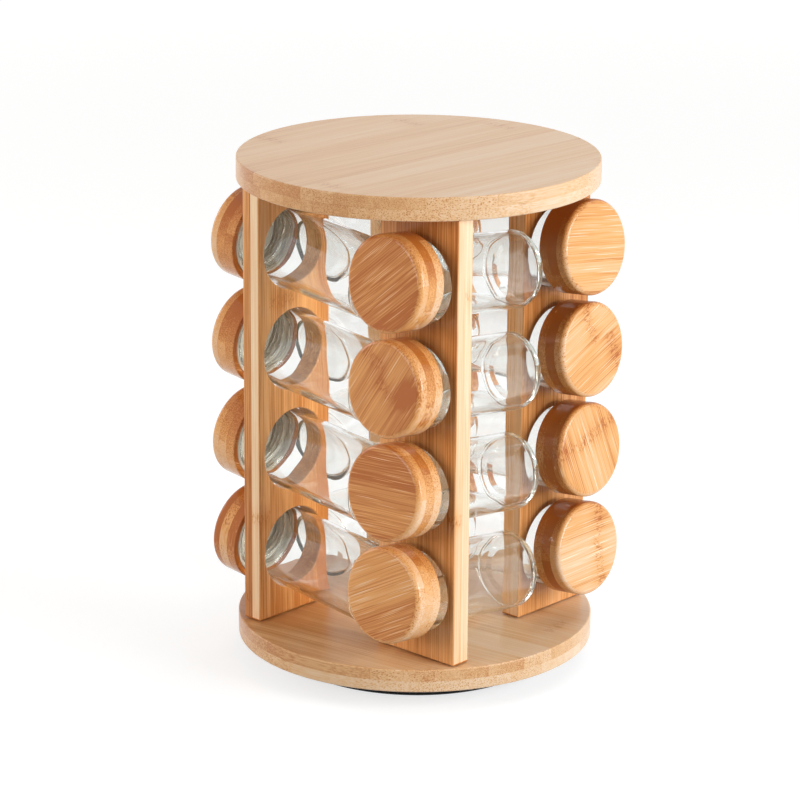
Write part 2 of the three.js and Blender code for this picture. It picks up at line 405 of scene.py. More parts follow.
def piece(name, bm, material, place=None, crease=32):
    """A finished object from a bmesh, smooth except over edges sharper than crease degrees."""
    bmesh.ops.recalc_face_normals(bm, faces=bm.faces)
    mesh = bpy.data.meshes.new(name)
    bm.to_mesh(mesh)
    bm.free()
    mesh.shade_smooth()
    mesh.set_sharp_from_angle(angle=math.radians(crease))
    mesh.materials.append(material)
    obj = bpy.data.objects.new(name, mesh)
    obj.matrix_world = place or Matrix.Identity(4)
    bpy.context.scene.collection.objects.link(obj)
    even = obj.modifiers.new("even_shading", "WEIGHTED_NORMAL")
    even.keep_sharp = True
    return obj


def settle(obj, body, nodes, slot):
    """Ties a piece to its body and hides the nodes that it stands for. The slot is not used."""
    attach(obj, body)
    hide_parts(*nodes)


def turned_piece(name, material, profile, segments, ties, place=None, crease=32, **shape):
    """A finished object turned from a profile and settled by its ties, (body, nodes, slot)."""
    bm = bmesh.new()
    turned(bm, profile, segments, **shape)
    obj = piece(name, bm, material, place, crease)
    settle(obj, *ties)
    return obj


def lay_grain(obj, along, through, origin, shift=(0, 0, 0), tones=0.0, plies=(0, 0, 0),
              stain=(0, 0, 0)):
    """Gives each vertex its place in the wood, in millimetres: across the strips, along the grain
    and through the plies. Also how squarely the surface cuts the grain, and how much paler than
    usual the piece and each of its plies are, which the callers also use for painted light and
    shade, and where a stain lies and how dark it is."""
    along, through = Vector(along).normalized(), Vector(through).normalized()
    across = along.cross(through)
    mesh = obj.data
    count = len(mesh.vertices)
    axes = np.array([across, along, through])
    points = np.array([v.co for v in mesh.vertices]) - np.array(origin)
    normals = np.array([v.normal for v in mesh.vertices])
    stain_place = axes @ np.array((*stain[:2], 0)) + np.array(shift)
    for name, values in (
        ("wood", points @ axes.T / MM + np.array(shift)),
        ("plies", np.broadcast_to(plies, (count, 3))),
        ("stain", np.broadcast_to((*stain_place[:2], stain[2]), (count, 3))),
        ("cut", np.abs(normals @ np.array(along))),
        ("tone", np.broadcast_to(tones, count)),
    ):
        kind, key = ("FLOAT_VECTOR", "vector") if values.ndim == 2 else ("FLOAT", "value")
        layer = mesh.attributes.new(name, kind, "POINT")
        layer.data.foreach_set(key, values.astype(np.float32).ravel())


# ---- places, read from the frame ----


def side_axes(side):
    """(outwards, aside) for one side of the rack."""
    axis = Vector(JOINTS[f"jar_{side}1_out"]["axis"])
    outwards = Vector((axis.x, axis.y, 0)).normalized()
    return outwards, UP.cross(outwards)


def face_centre(node, axis):
    """Centre of the node's corners that lie furthest along an axis."""
    spots = {tuple(round(c, 6) for c in v.co) for v in frame["nodes"][node].data.vertices}
    reach = {spot: Vector(spot).dot(axis) for spot in spots}
    furthest = max(reach.values())
    rim = [Vector(spot) for spot in spots if furthest - reach[spot] < 1e-5]
    return sum(rim, Vector()) / len(rim)


def jar_place(label):
    """A jar's own axes: X aside, Y up and Z outwards, from where its axis crosses the board."""
    axis = Vector(JOINTS[f"jar_{label}_out"]["axis"]).normalized()
    outwards, aside = side_axes(label[0])
    face = face_centre(f"jar_lid_{label}", axis)
    low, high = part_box(f"upright_{label[0]}")
    board = ((low + high) / 2).dot(outwards)
    origin = face - axis * ((face.dot(outwards) - board) / axis.dot(outwards))
    upward = axis.cross(aside)
    place = Matrix((aside, upward, axis)).transposed().to_4x4()
    place.translation = origin
    return place


def span(node, place):
    """(lowest, highest, radius) of a turned node along and around its place's Z axis."""
    inverse = place.inverted()
    local = [inverse @ v.co for v in frame["nodes"][node].data.vertices]
    heights = [p.z for p in local]
    return min(heights), max(heights), max(math.hypot(p.x, p.y) for p in local)


# ---- material graphs ----


class Graph:
    """The nodes of a material or a world, wired by short calls. Numbers may stand wherever a socket
    can. Colours are three numbers."""

    def __init__(self, owner, output="ShaderNodeOutputMaterial"):
        owner.use_nodes = True
        self.owner = owner
        self.tree = owner.node_tree
        self.tree.nodes.clear()
        self.out = self.add(output)

    def feed(self, socket, value):
        if isinstance(value, bpy.types.NodeSocket):
            self.tree.links.new(value, socket)
        elif value is not None:
            socket.default_value = (*value, 1.0) if socket.type == "RGBA" else value

    def add(self, kind, *values, **settings):
        """A node with these settings, and these values in its first inputs."""
        node = self.tree.nodes.new(kind)
        for key, value in settings.items():
            setattr(node, key, value)
        for socket, value in zip(node.inputs, values):
            self.feed(socket, value)
        return node

    def named(self, kind, **inputs):
        """A node with these values in the inputs of those names, where _ stands for a space."""
        node = self.add(kind)
        for key, value in inputs.items():
            self.feed(node.inputs[key.replace("_", " ")], value)
        return node

    def math(self, operation, *values):
        return self.add("ShaderNodeMath", *values, operation=operation).outputs[0]

    def chain(self, operation, terms):
        """Joins the first two terms by an operation, their result to the third, and so on."""
        total = terms[0]
        for term in terms[1:]:
            total = self.math(operation, total, term)
        return total

    def plus(self, *terms):
        return self.chain("ADD", terms)

    def times(self, *factors):
        return self.chain("MULTIPLY", factors)

    def less(self, a, b):
        return self.math("SUBTRACT", a, b)

    def distance(self, x, y):
        return self.math("SQRT", self.plus(self.times(x, x), self.times(y, y)))

    def attribute(self, name, output="Fac"):
        return self.add("ShaderNodeAttribute", attribute_name=name).outputs[output]

    def place(self):
        """The point that is shaded, in the object's own axes."""
        return self.add("ShaderNodeTexCoord").outputs["Object"]

    def split(self, vector):
        return tuple(self.add("ShaderNodeSeparateXYZ", vector).outputs)

    def join(self, x, y, z=0.0):
        return self.add("ShaderNodeCombineXYZ", x, y, z).outputs[0]

    def chance(self, vector):
        """Three random numbers that depend only on the vector."""
        return self.split(self.named("ShaderNodeTexWhiteNoise", Vector=vector).outputs["Color"])

    def noise(self, vector, scale, detail=2.0, rough=0.5):
        return self.named("ShaderNodeTexNoise", Vector=vector, Scale=scale, Detail=detail,
                          Roughness=rough).outputs["Fac"]

    def cells(self, vector, scale, randomness):
        """Distance to the nearest of many scattered points, and a random number for that point."""
        node = self.named("ShaderNodeTexVoronoi", Vector=vector, Scale=scale,
                          Randomness=randomness)
        return node.outputs["Distance"], self.split(node.outputs["Color"])[0]

    def fade(self, value, start, end, low=0.0, high=1.0):
        """Goes smoothly from low to high as value goes from start to end."""
        return self.add("ShaderNodeMapRange", value, start, end, low, high,
                        interpolation_type="SMOOTHSTEP").outputs[0]

    def fade_straight(self, value, start, end):
        """Goes evenly from 0 to 1 as value goes from start to end."""
        return self.add("ShaderNodeMapRange", value, start, end).outputs[0]

    def blend(self, factor, a, b):
        """Goes from colour a to colour b as factor goes from 0 to 1."""
        node = self.add("ShaderNodeMix", factor, data_type="RGBA")
        self.feed(node.inputs[6], a)
        self.feed(node.inputs[7], b)
        return node.outputs[2]

    def bump(self, height, distance, strength):
        return self.named("ShaderNodeBump", Height=height, Distance=distance,
                          Strength=strength).outputs[0]

    def principled(self, **inputs):
        return self.named("ShaderNodeBsdfPrincipled", **inputs).outputs[0]

    def finish(self, surface, volume=None):
        """Wires up the output and returns the finished material or world."""
        self.feed(self.out.inputs["Surface"], surface)
        self.feed(self.out.inputs["Volume"], volume)
        return self.owner


def material_graph(name):
    """An empty graph for a new material."""
    return Graph(bpy.data.materials.new(name))


def bamboo(name, look, knuckle_spread):
    """Laminated bamboo: glued strips in plies, each with its own tone, fibres and dark bundles."""
    g = material_graph(name)
    across, along, through = g.split(g.attribute("wood", "Vector"))
    cut = g.attribute("cut")
    strip_mm = look.strip_width / MM
    ply_mm = look.ply / MM

    layer = g.math("MINIMUM", g.math("DIVIDE", through, ply_mm), look.plies - 0.02)
    layer = g.math("MAXIMUM", layer, 0.02)
    ply = g.math("FLOOR", layer)
    ply_tone = 0.0
    for k, value in enumerate(g.split(g.attribute("plies", "Vector"))):
        here = g.math("COMPARE", ply, k, 0.4)
        ply_tone = g.plus(ply_tone, g.times(here, value))

    stagger = g.chance(g.join(ply, 3.7))[0]
    strip_place = g.plus(g.math("DIVIDE", across, strip_mm), g.times(stagger, 5))
    strip = g.math("FLOOR", strip_place)
    luck, grade, lie = g.chance(g.join(strip, ply, 1.3))
    drift = g.times(luck, 700)

    # Fibres run along the grain, but wander a little from it.
    wander = g.times(g.less(g.noise(g.join(drift, g.times(along, 0.02), ply), 1.0), 0.5), 1.2)
    bent = g.plus(across, wander)
    slow = g.plus(g.times(along, 0.007), drift)
    fibre = g.join(bent, slow, through)
    fine = g.fade(g.noise(fibre, 1.6, 2, 0.7), 0.40, 0.60)
    broad = g.fade(g.noise(fibre, 0.16, 2), 0.3, 0.7)
    near_dark, dark_luck = g.cells(fibre, 1.45, 0.8)
    coarse = g.fade(lie, 0.25, 0.75, 0.35, 1.0)
    line = g.join(g.plus(bent, 40), g.plus(g.times(along, 0.02), drift), g.times(through, 0.3))
    near_pale, pale_luck = g.cells(line, 1.15, 0.7)
    dark = g.times(g.fade(near_dark, 0.46, 0.26), g.fade(dark_luck, 0.0, 0.8, 0.35, 1.0))
    pale = g.times(g.fade(near_pale, 0.3, 0.14), g.fade(pale_luck, 0.0, 0.5, 0.25, 1.0))
    lengthwise = g.fade(cut, 0.45, 0.1)

    # Each strip was cut from a cane with a knuckle every 260 mm.
    rise = 260
    place = g.plus(along, g.times(g.less(lie, 0.5), knuckle_spread), rise / 2)
    ragged = g.times(g.less(g.noise(g.join(across, ply, luck), 0.35, 3), 0.5), 7)
    place = g.math("FLOORED_MODULO", place, rise)
    from_knuckle = g.math("ABSOLUTE", g.plus(place, -rise / 2, ragged))
    curl = g.noise(g.join(bent, g.times(along, 0.22), through), 1.8, 1, 0.6)
    strokes = g.times(g.fade(from_knuckle, 4.5, 1.5), g.fade(curl, 0.5, 0.62))
    smudge = g.times(g.fade(from_knuckle, 12, 1), g.fade(fine, 0, 1, 1.0, 0.4))
    knuckle = g.times(g.plus(g.times(strokes, 0.75), g.times(smudge, 0.4)), look.knuckles)

    # A stain is longer along the grain than across it.
    stain_across, stain_along, darkness = g.split(g.attribute("stain", "Vector"))
    beside = g.times(g.less(across, stain_across), 1 / 8)
    beyond = g.times(g.plus(g.less(along, stain_along), g.times(g.less(fine, 0.5), 5)), 1 / 10)
    stain = g.times(g.fade(g.distance(beside, beyond), 1.2, 0.1), darkness)

    seam = g.math("MINIMUM",
                  g.times(g.math("PINGPONG", strip_place, 0.5), strip_mm),
                  g.times(g.math("PINGPONG", layer, 0.5), ply_mm))
    joint = g.fade(seam, 0.30, 0.06)

    shade = g.plus(
        0.5,
        g.attribute("tone"),
        ply_tone,
        g.times(g.less(grade, 0.5), look.strip_variation * 2),
        g.times(g.less(fine, 0.5), look.streaks),
        g.times(g.less(broad, 0.5), look.streaks * 0.5),
        g.times(dark, g.fade(cut, 0.05, 0.4, -look.fibres * 0.55, g.times(coarse, -look.dots))),
        g.times(g.less(pale, 0.3), lengthwise, look.lines),
        g.times(cut, -look.end_shade),
        g.times(knuckle, -1.0),
        g.times(stain, -1.0),
        g.times(joint, -look.seams),
    )
    color = look.deep
    for k, paler in enumerate((look.middle, look.pale, look.cream)):
        color = g.blend(g.fade_straight(shade, k / 2, (k + 1) / 2), color, paler)
    red = tuple(c * f for c, f in zip(look.deep, (0.9, 0.7, 0.7)))
    color = g.blend(g.times(strokes, look.knuckles * 0.5), color, red)
    relief = g.plus(fine, g.times(dark, -1.0), g.times(pale, 0.5), g.times(joint, -1.0))
    return g.finish(g.principled(
        Base_Color=color,
        Roughness=look.roughness,
        Specular_IOR_Level=0.1,
        Normal=g.bump(relief, 0.00005, 0.35),
        Coat_Weight=look.gloss,
        Coat_Roughness=look.gloss_roughness,
        Coat_IOR=look.gloss_ior,
    ))


def pressed_glass(name, look):
    """Clear glass that lets the lamps through, greenish where it is thick."""
    g = material_graph(name)
    place = g.place()
    ripple = g.plus(g.noise(place, 90, 1), g.times(g.noise(place, 35, 1), 1.6))
    pane = g.principled(Base_Color=look.clear, Roughness=0.0, IOR=1.5, Transmission_Weight=1.0,
                        Normal=g.bump(ripple, 0.0001, 0.35))
    through = g.add("ShaderNodeBsdfTransparent", (0.98, 0.985, 0.985))
    shadow = g.add("ShaderNodeLightPath").outputs["Is Shadow Ray"]
    mix = g.add("ShaderNodeMixShader", shadow, pane, through.outputs[0])
    absorb = g.named("ShaderNodeVolumeAbsorption", Color=look.depth_tint, Density=look.depth)
    return g.finish(mix.outputs[0], absorb.outputs[0])


def moulded(name, color, roughness, grain=900.0, relief=0.00003, shine=0.5):
    """Moulded plastic or rubber with a faint mottle and a fine texture."""
    g = material_graph(name)
    place = g.place()
    mottle = g.noise(place, 60, 3)
    pale = tuple(min(1.0, c * 1.18 + 0.002) for c in color)
    return g.finish(g.principled(
        Base_Color=g.blend(mottle, color, pale),
        Roughness=g.fade(mottle, 0.3, 0.7, roughness - 0.05, roughness + 0.06),
        Specular_IOR_Level=shine,
        Normal=g.bump(g.noise(place, grain, 2), relief, 0.6),
    ))


def bright_steel(name, color):
    """Plain turned steel with fine rings of tool marks."""
    g = material_graph(name)
    x, y, z = g.split(g.place())
    marks = g.noise(g.join(g.distance(x, y), z), 2500, 2)
    return g.finish(g.principled(
        Base_Color=color,
        Metallic=1.0,
        Roughness=g.fade(marks, 0.3, 0.7, 0.24, 0.38),
        Normal=g.bump(marks, 0.00002, 0.4),
    ))


# ---- wooden pieces ----


def dowel_pits():
    """The blind holes in a disc for the dowels of all four boards: (centre, radius, depth)."""
    pits = []
    for side in SIDES:
        low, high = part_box(f"upright_{side}")
        _, aside = side_axes(side)
        for step in (-DOWEL_STEP, DOWEL_STEP):
            spot = (low + high) / 2 + aside * step
            pits.append(((spot.x, spot.y), DOWEL_RADIUS + GAP, DOWEL_PIT))
    return pits


def build_disc(name, node, look, grain, material, dowels_above, tone, paler, heading, plies):
    """A disc whose tone leans from darker to paler over its width, towards a compass angle, as
    painted light from the lit side.
    """
    low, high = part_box(node)
    radius = high.x
    bm = bmesh.new()
    pits = dowel_pits()
    slab(bm, lambda inset, z: circle(radius - inset, z, 180), [], high.z - low.z, look.ease,
         pits_low=() if dowels_above else pits, pits_high=pits if dowels_above else ())
    disc = piece(name, bm, material, Matrix.Translation((0, 0, low.z)))
    # Painted light: the disc grows paler towards the side that the lamps light.
    across = np.array([v.co.x * math.cos(heading) + v.co.y * math.sin(heading)
                       for v in disc.data.vertices])
    lay_grain(disc, (math.cos(grain), math.sin(grain), 0), UP, (0, 0, 0), shift=(7.0, 0, 0),
              tones=tone + across / radius * paler, plies=plies)
    settle(disc, "carousel", [node], "bamboo_disc")


def build_upright(side, look, material, tone, fall, edge_tone, edge_fall, plies):
    """A board with its four jar holes, and with two dowels in each end."""
    node = f"upright_{side}"
    low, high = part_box(node)
    outwards, aside = side_axes(side)
    base_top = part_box("base_disc")[1].z
    disc_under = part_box("top_disc")[0].z
    middle = (low + high) / 2
    size = high - low
    thickness = abs(size.dot(outwards))
    half_width = abs(size.dot(aside)) / 2
    half_height = (disc_under - base_top) / 2 - BOARD_GAP
    centre_z = (disc_under + base_top) / 2
    heights = [jar_place(f"{side}{level}").translation.z - centre_z for level in range(1, 5)]

    def outline(inset, z):
        w, h = half_width - inset, half_height - inset
        return [(-w, -h, z), (w, -h, z), (w, h, z), (-w, h, z)]

    def hole(height):
        return lambda inset, z: circle(JAR_HOLE + inset, z, 96, (0, height))

    bm = bmesh.new()
    slab(bm, outline, [hole(h) for h in heights], thickness, look.ease)
    # A cut one millimetre above the foot keeps the painted foot shadow in that band.
    bmesh.ops.bisect_plane(bm, geom=bm.verts[:] + bm.edges[:] + bm.faces[:], dist=1e-6,
                           plane_co=(0, FOOT_BAND - half_height, 0), plane_no=(0, 1, 0))
    dowel = softened([(0, 0, 0), (DOWEL_RADIUS, 0, 0), (DOWEL_RADIUS, DOWEL_LENGTH, 0.0008),
                      (0, DOWEL_LENGTH, 0)])
    for step in (-DOWEL_STEP, DOWEL_STEP):
        for end in (-1, 1):
            start = len(bm.verts)
            turned(bm, dowel, 24)
            bm.verts.ensure_lookup_table()
            stand = Matrix.Translation((step, end * (half_height - DOWEL_ROOT), thickness / 2))
            bmesh.ops.transform(bm, matrix=stand @ Matrix.Rotation(-end * math.pi / 2, 4, "X"),
                                verts=bm.verts[start:])
    place = Matrix((aside, UP, outwards)).transposed().to_4x4()
    place.translation = Vector((middle.x, middle.y, centre_z)) - outwards * thickness / 2
    board = piece(f"board_{side}", bm, material, place)
    rng = random.Random(f"board {side}")
    narrow = np.array([abs(v.co.x) > half_width - 1e-5 for v in board.data.vertices])
    lowness = np.array([-v.co.y / half_height / 2 for v in board.data.vertices])
    at_foot = lowness > 0.4999
    # The tones paint light and shade: paler or darker towards the foot, a painted sheen on the
    # narrow edges, and a painted shadow in the last millimetre of the foot.
    lay_grain(board, (0, 1, 0), (0, 0, 1), (0, 0, 0),
              shift=(rng.uniform(0, 300), rng.uniform(0, 60), 0),
              tones=(tone + lowness * fall + narrow * (edge_tone + lowness * edge_fall)
                     - at_foot * look.foot_shade),
              plies=np.outer(narrow, plies))
    settle(board, "carousel", [node], "bamboo_upright")


def build_lid(label, look, material):
    """A lid with a rounded face, hollow up to its liner."""
    node = f"jar_lid_{label}"
    place = jar_place(label)
    under, face, radius = span(node, place)
    bore = radius - look.wall
    roof = span(f"lid_liner_{label}", place)[1] + GAP
    profile = softened([
        (0, roof, 0), (bore, roof, 0.0006), (bore, under, 0.0004), (radius, under, 0.0008),
        (radius, face, look.fillet), (0, face, 0),
    ], 7)
    lid = turned_piece(f"lid_{label}", material, profile, 128,
                       (f"lid_{label}", [node], "bamboo_lid"), place)
    rng = random.Random(f"lid {label}")
    grain = math.radians(LID_GRAIN.get(label, rng.uniform(0, 180)))
    knuckle = LID_KNUCKLE.get(label, OFF_THE_FACE)
    plies = LID_PLIES.get(label, [rng.uniform(-0.2, 0.2) for _ in range(3)])
    # Painted light and shade: each side's lids and their round sides are paler where lit and darker
    # where shaded, and their upper sides are darker under what lies above.
    tone, round_side_light = LID_LIGHT_AND_SHADE[label[0]]
    roundness = np.array([1 - abs(v.normal.z) for v in lid.data.vertices])
    # How far each point faces up, for the painted shade on the lid's upper side.
    upwards = np.array([max(0.0, v.normal.y) for v in lid.data.vertices])
    lay_grain(lid, (math.cos(grain), math.sin(grain), 0), (0, 0, 1), (0, 0, face - 3 * look.ply),
              shift=(rng.uniform(0, 400), -knuckle, 0),
              tones=(tone + rng.uniform(-0.04, 0.04) + roundness * round_side_light
                     - upwards * look.shade_above),
              plies=plies, stain=LID_STAIN.get(label, (0, 0, 0)))


# ---- jars and liners ----


def thread_swell(look, low, high, sign=1):
    """A helical ridge between two heights, which rises from nothing and sinks again at its ends."""
    half_ridge, run_out = 0.2, 0.0012

    def swell(r, z, angle):
        if not low < z < high:
            return 0.0
        phase = ((z - low) / look.thread_pitch - angle / (2 * math.pi)) % 1.0
        ridge = max(0.0, 1 - abs(phase - 0.5) / half_ridge)
        ends = min(1.0, (z - low) / run_out, (high - z) / run_out)
        return sign * look.thread_height * ridge * ridge * (3 - 2 * ridge) * ends
    return swell


def build_jar(label, look, material):
    """A jar with a threaded neck and a slightly wavy inner wall."""
    place = jar_place(label)
    foot, mouth, radius = span(f"jar_glass_{label}", place)
    neck = look.neck_radius
    shoulder = mouth - NECK_LENGTH
    throat = neck - NECK_WALL
    inner = radius - look.wall
    floor = foot + look.floor
    outside = [
        (0, foot + 0.0009, 0), (radius * 0.55, foot + 0.0007, 0.004), (radius * 0.74, foot, 0.0012),
        (radius, foot, look.heel), (radius, shoulder - look.shoulder, 0.0016),
        (neck, shoulder, 0.0008), (neck, mouth, 0.0010),
    ]
    inside = [
        (throat, mouth, 0.0009), (throat, shoulder - 0.001, 0.0012),
        (inner, shoulder - look.shoulder - 0.0018, 0.0022), (inner, floor, 0.0018),
        (0, floor + 0.0006, 0),
    ]
    profile = refined(softened(outside + inside, 6), neck)
    rng = random.Random(f"jar {label}")
    drift = Vector((rng.uniform(0, 50), rng.uniform(0, 50), rng.uniform(0, 50)))
    thread = thread_swell(look, shoulder + 0.0016, mouth - 0.0016)

    def swell(r, z, angle):
        if abs(r - neck) < 1e-5:
            return thread(r, z, angle)
        if r <= inner + 1e-5 and r > 0.001 and z < shoulder and floor - 0.001 < z:
            spot = Vector((math.cos(angle) * 1.3, math.sin(angle) * 1.3, z / 0.026)) + drift
            facets = 0.35 * math.cos(8 * angle + drift.x) * max(0.0, 1 - (z - floor) / 0.02)
            return look.waves * (noise.noise(spot) * 2 + facets) * min(1.0, r / inner)
        return 0.0

    turned_piece(f"jar_{label}", material, profile, 128,
                 (f"jar_{label}", [f"jar_glass_{label}"], "jar_glass"), place, 50, swell=swell)


def refined(profile, radius):
    """The profile cut into short steps, the shortest where it runs straight at one radius."""
    points = [profile[0]]
    for (r0, z0), (r1, z1) in zip(profile, profile[1:]):
        on_thread = abs(r0 - radius) < 1e-6 and abs(r1 - radius) < 1e-6
        limit = THREAD_STEP if on_thread else WALL_STEP
        parts = max(1, math.ceil(math.hypot(r1 - r0, z1 - z0) / limit))
        for k in range(1, parts + 1):
            points.append((r0 + (r1 - r0) * k / parts, z0 + (z1 - z0) * k / parts))
    return points


def build_liner(label, glass, material):
    """The threaded liner in a lid. Its thread is that of the glass neck, turned inwards."""
    node = f"lid_liner_{label}"
    place = jar_place(label)
    under, roof, radius = span(node, place)
    inner = radius - LINER_WALL
    profile = refined(softened([
        (0, roof - LINER_END, 0), (inner, roof - LINER_END, 0.0006), (inner, under, 0.0004),
        (radius, under, 0.0004), (radius, roof, 0.0005), (0, roof, 0),
    ], 4), inner)
    thread = thread_swell(glass, under + 0.001, roof - 0.002, sign=-1)
    turned_piece(f"liner_{label}", material, profile, 96,
                 (f"lid_{label}", [node], "liner_plastic"), place, 50,
                 swell=lambda r, z, a: thread(r, z, a) if abs(r - inner) < 1e-6 else 0.0)


# ---- turntable ----


def race_of(look):
    """(radius, height) of the middle of the balls."""
    low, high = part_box("ball_ring")
    return high.x - look.ball_radius, (low.z + high.z) / 2


def build_lower_plate(look, material):
    """The plate that stands still, with a seat for the foot ring and a race for the balls."""
    low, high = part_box("turntable_lower_plate")
    foot_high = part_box("foot_ring")[1]
    radius = high.x
    inner, outer = foot_high.x - look.foot_width - GAP, foot_high.x + GAP
    seat = foot_high.z + GAP
    race, middle = race_of(look)
    half, floor = look.ball_radius + 2 * GAP, middle - look.ball_radius - GAP
    profile = softened([
        (RIVET_BORE, low.z, 0), (inner, low.z, 0.0003), (inner, seat, 0.0003),
        (outer, seat, 0.0003), (outer, low.z, 0.0003), (radius, low.z, 0.0007),
        (radius, high.z, 0.0010), (race + half, high.z, 0.0003),
        (race + half, floor, 0.0006), (race - half, floor, 0.0006),
        (race - half, high.z, 0.0003), (RIVET_BORE, high.z, 0.0003),
    ], 4, closed=True)
    ribs = look.knurls

    def rib(r, z, angle):
        return 0.00025 * (math.cos(ribs * angle) - 1) if r > radius - 1e-5 else 0.0

    turned_piece("turntable_plate_lower", material, profile, ribs * 6,
                 ("turntable_base", ["turntable_lower_plate"], "turntable_plastic"),
                 closed=True, swell=rib)


def build_upper_plate(look, material):
    """The plate that turns with the rack, with the other race and a seat for the rivet's head."""
    low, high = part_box("turntable_upper_plate")
    radius = high.x
    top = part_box("pivot_pin")[1].z
    race, middle = race_of(look)
    half, roof = look.ball_radius + 2 * GAP, middle + look.ball_radius + GAP
    profile = softened([
        (RIVET_BORE, low.z, 0), (race - half, low.z, 0.0003), (race - half, roof, 0.0006),
        (race + half, roof, 0.0006), (race + half, low.z, 0.0003), (radius, low.z, 0.0008),
        (radius, top, 0.0006), (RIVET_SEAT, top, 0), (RIVET_SEAT, top - look.pin_head - GAP, 0),
        (RIVET_BORE, top - look.pin_head - GAP, 0),
    ], 4, closed=True)
    turned_piece("turntable_plate_upper", material, profile, 180,
                 ("carousel", ["turntable_upper_plate"], "turntable_plastic"), closed=True)


def build_ball_ring(look, material):
    """The balls in their cage."""
    race, middle = race_of(look)
    width, height = CAGE_HALF_WIDTH, CAGE_HALF_HEIGHT
    bm = bmesh.new()
    cage = softened([
        (race - width, middle - height, 0.0003), (race + width, middle - height, 0.0003),
        (race + width, middle + height, 0.0003), (race - width, middle + height, 0.0003),
    ], 3, closed=True)
    turned(bm, cage, 120, closed=True)
    for i in range(look.ball_count):
        angle = 2 * math.pi * i / look.ball_count
        spot = Matrix.Translation((race * math.cos(angle), race * math.sin(angle), middle))
        bmesh.ops.create_icosphere(bm, subdivisions=3, radius=look.ball_radius, matrix=spot)
    ring = piece("bearing_balls", bm, material)
    settle(ring, "ball_ring", ["ball_ring"], "bearing_steel")


def build_pivot_pin(look, material):
    """The rivet that holds the two plates together."""
    low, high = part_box("pivot_pin")
    head = high.x
    profile = softened([
        (0, low.z, 0), (head, low.z, 0.0004), (head, low.z + look.pin_head, 0.0003),
        (RIVET_SHANK, low.z + look.pin_head, 0.0003),
        (RIVET_SHANK, high.z - look.pin_head, 0.0003),
        (head, high.z - look.pin_head, 0.0003), (head, high.z, 0.0004), (0, high.z, 0),
    ], 4)
    turned_piece("pivot_rivet", material, profile, 64,
                 ("turntable_base", ["pivot_pin"], "bearing_steel"))


def build_foot_ring(look, material):
    """The rubber ring that the rack stands on, with four fine grooves in its underside."""
    low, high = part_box("foot_ring")
    outer, inner = high.x, high.x - look.foot_width
    groove_step, half_groove = 0.002, 0.0003
    profile = [(inner, low.z, 0.0005)]
    for k in range(1, 5):
        groove = inner + k * groove_step
        profile += [(groove - half_groove, low.z, 0), (groove, low.z + half_groove, 0),
                    (groove + half_groove, low.z, 0)]
    profile += [(outer, low.z, 0.0005), (outer, high.z, 0.0003), (inner, high.z, 0.0003)]
    turned_piece("rubber_foot", material, softened(profile, 3, closed=True), 160,
                 ("turntable_base", ["foot_ring"], "foot_rubber"), closed=True)


# ---- stage ----


def lamp(name, heading, lift, reach, size, watts, color=(1, 1, 1)):
    """A square soft lamp that stands in a compass direction, in degrees from +X towards +Y."""
    data = bpy.data.lights.new(name, "AREA")
    data.shape = "SQUARE"
    data.size = size
    data.energy = watts
    data.color = color
    obj = bpy.data.objects.new(name, data)
    heading, lift = math.radians(heading), math.radians(lift)
    level = reach * math.cos(lift)
    obj.location = LAMP_TARGET + Vector((level * math.cos(heading), level * math.sin(heading),
                                         reach * math.sin(lift)))
    obj.rotation_euler = (LAMP_TARGET - obj.location).to_track_quat("-Z", "Y").to_euler()
    bpy.context.scene.collection.objects.link(obj)


def seen_directly(g):
    """1 for rays from the camera, off gloss and through glass, 0 for light that falls on things."""
    path = g.add("ShaderNodeLightPath").outputs
    return g.chain("MAXIMUM", (path["Is Camera Ray"], path["Is Glossy Ray"],
                               path["Is Transmission Ray"]))


def build_world(look):
    """A white room to look at, and a dimmer, warmer one to be lit by."""
    world = bpy.data.worlds.new("studio")
    bpy.context.scene.world = world
    g = Graph(world, "ShaderNodeOutputWorld")
    falling = g.add("ShaderNodeBackground", (1.0, 0.93, 0.85), look.room)
    shown = g.add("ShaderNodeBackground", (1, 1, 1))
    mix = g.add("ShaderNodeMixShader", seen_directly(g), falling.outputs[0], shown.outputs[0])
    g.finish(mix.outputs[0])


def build_floor(look):
    """A wide paper floor that keeps the shadow and looks white towards its far edge."""
    bm = bmesh.new()
    loop, _ = loop_of(bm, circle(FLOOR_RADIUS, 0, 96))
    bm.faces.new(loop)
    g = material_graph("floor_paper")
    paper = g.principled(Base_Color=[look.floor_tone] * 3, Roughness=1.0, Specular_IOR_Level=0.0)
    x, y, _ = g.split(g.place())
    strength = g.times(seen_directly(g), g.fade(g.distance(x, y), 0.8, 3.0, 0.69, 0.92))
    glow = g.add("ShaderNodeEmission", (0.99, 1.0, 1.01), strength)
    both = g.add("ShaderNodeAddShader", paper, glow.outputs[0])
    floor = piece("floor", bm, g.finish(both.outputs[0]))
    floor.location.z = cad_box[0][2] - FLOOR_GAP


def clear_paths(cycles):
    """Lets light cross as many glass walls as sixteen jars put in its way."""
    cycles.max_bounces = 48
    cycles.transmission_bounces = 48
    cycles.glossy_bounces = 24


def build_camera(look):
    """A camera on a level circle around the turning axis, aimed by its settings."""
    data = bpy.data.cameras.new("camera")
    data.lens = look.lens
    data.sensor_width = 36
    data.clip_end = 20
    camera = bpy.data.objects.new("camera", data)
    bpy.context.scene.collection.objects.link(camera)
    camera.location = (look.reach * math.sin(look.heading), -look.reach * math.cos(look.heading),
                       look.height)
    facing = Matrix.Rotation(look.heading - look.swing, 4, "Z")
    tipped = Matrix.Rotation(math.pi / 2 - look.pitch, 4, "X")
    camera.rotation_euler = (facing @ tipped @ Matrix.Rotation(look.roll, 4, "Z")).to_euler()
    bpy.context.scene.camera = camera


# ---- operators ----


